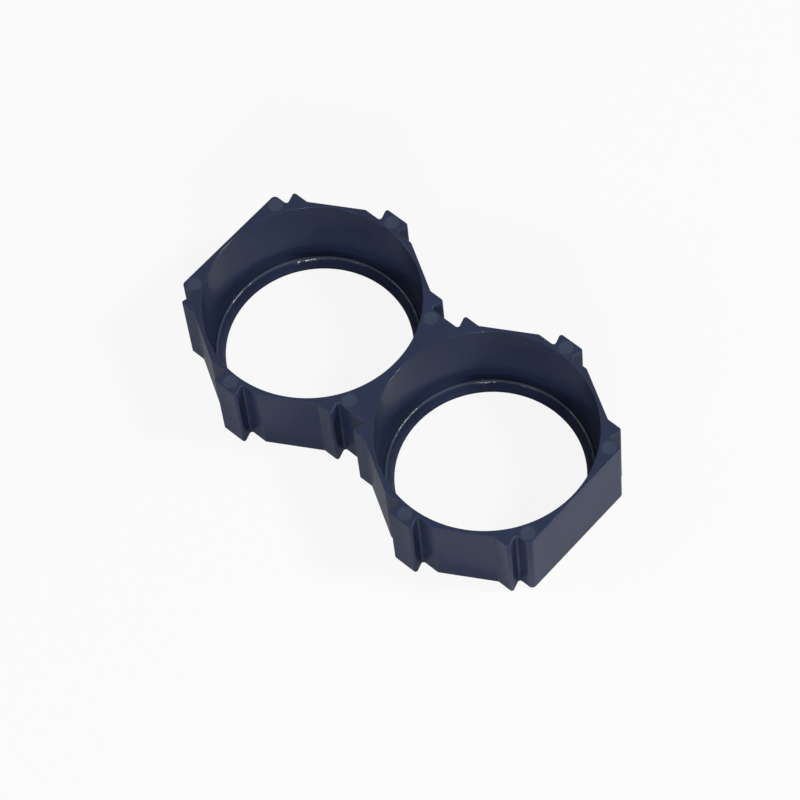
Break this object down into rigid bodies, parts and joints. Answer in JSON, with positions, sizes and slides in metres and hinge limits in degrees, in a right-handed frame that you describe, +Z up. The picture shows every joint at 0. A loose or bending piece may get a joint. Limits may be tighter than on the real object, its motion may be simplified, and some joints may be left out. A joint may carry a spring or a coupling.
{
  "type": "battery cell holder bracket",
  "caption": "Moulded black plastic holder bracket with round battery cell pockets, stop lips and dovetail teeth and sockets that join it to its neighbours.",
  "frame": {"origin": "centre of the bottom face, on the surface that the bracket lies on", "axes": "+X along the row of cells, +Y across it, +Z up towards the open side of the pockets"},
  "size_m": [0.0384, 0.0216, 0.0079],
  "materials": {
    "black_plastic": "blue-black moulded plastic with a soft sheen"
  },
  "bodies": {
    "root": {"holder_bracket": "black_plastic"}
  },
  "joints": []
}
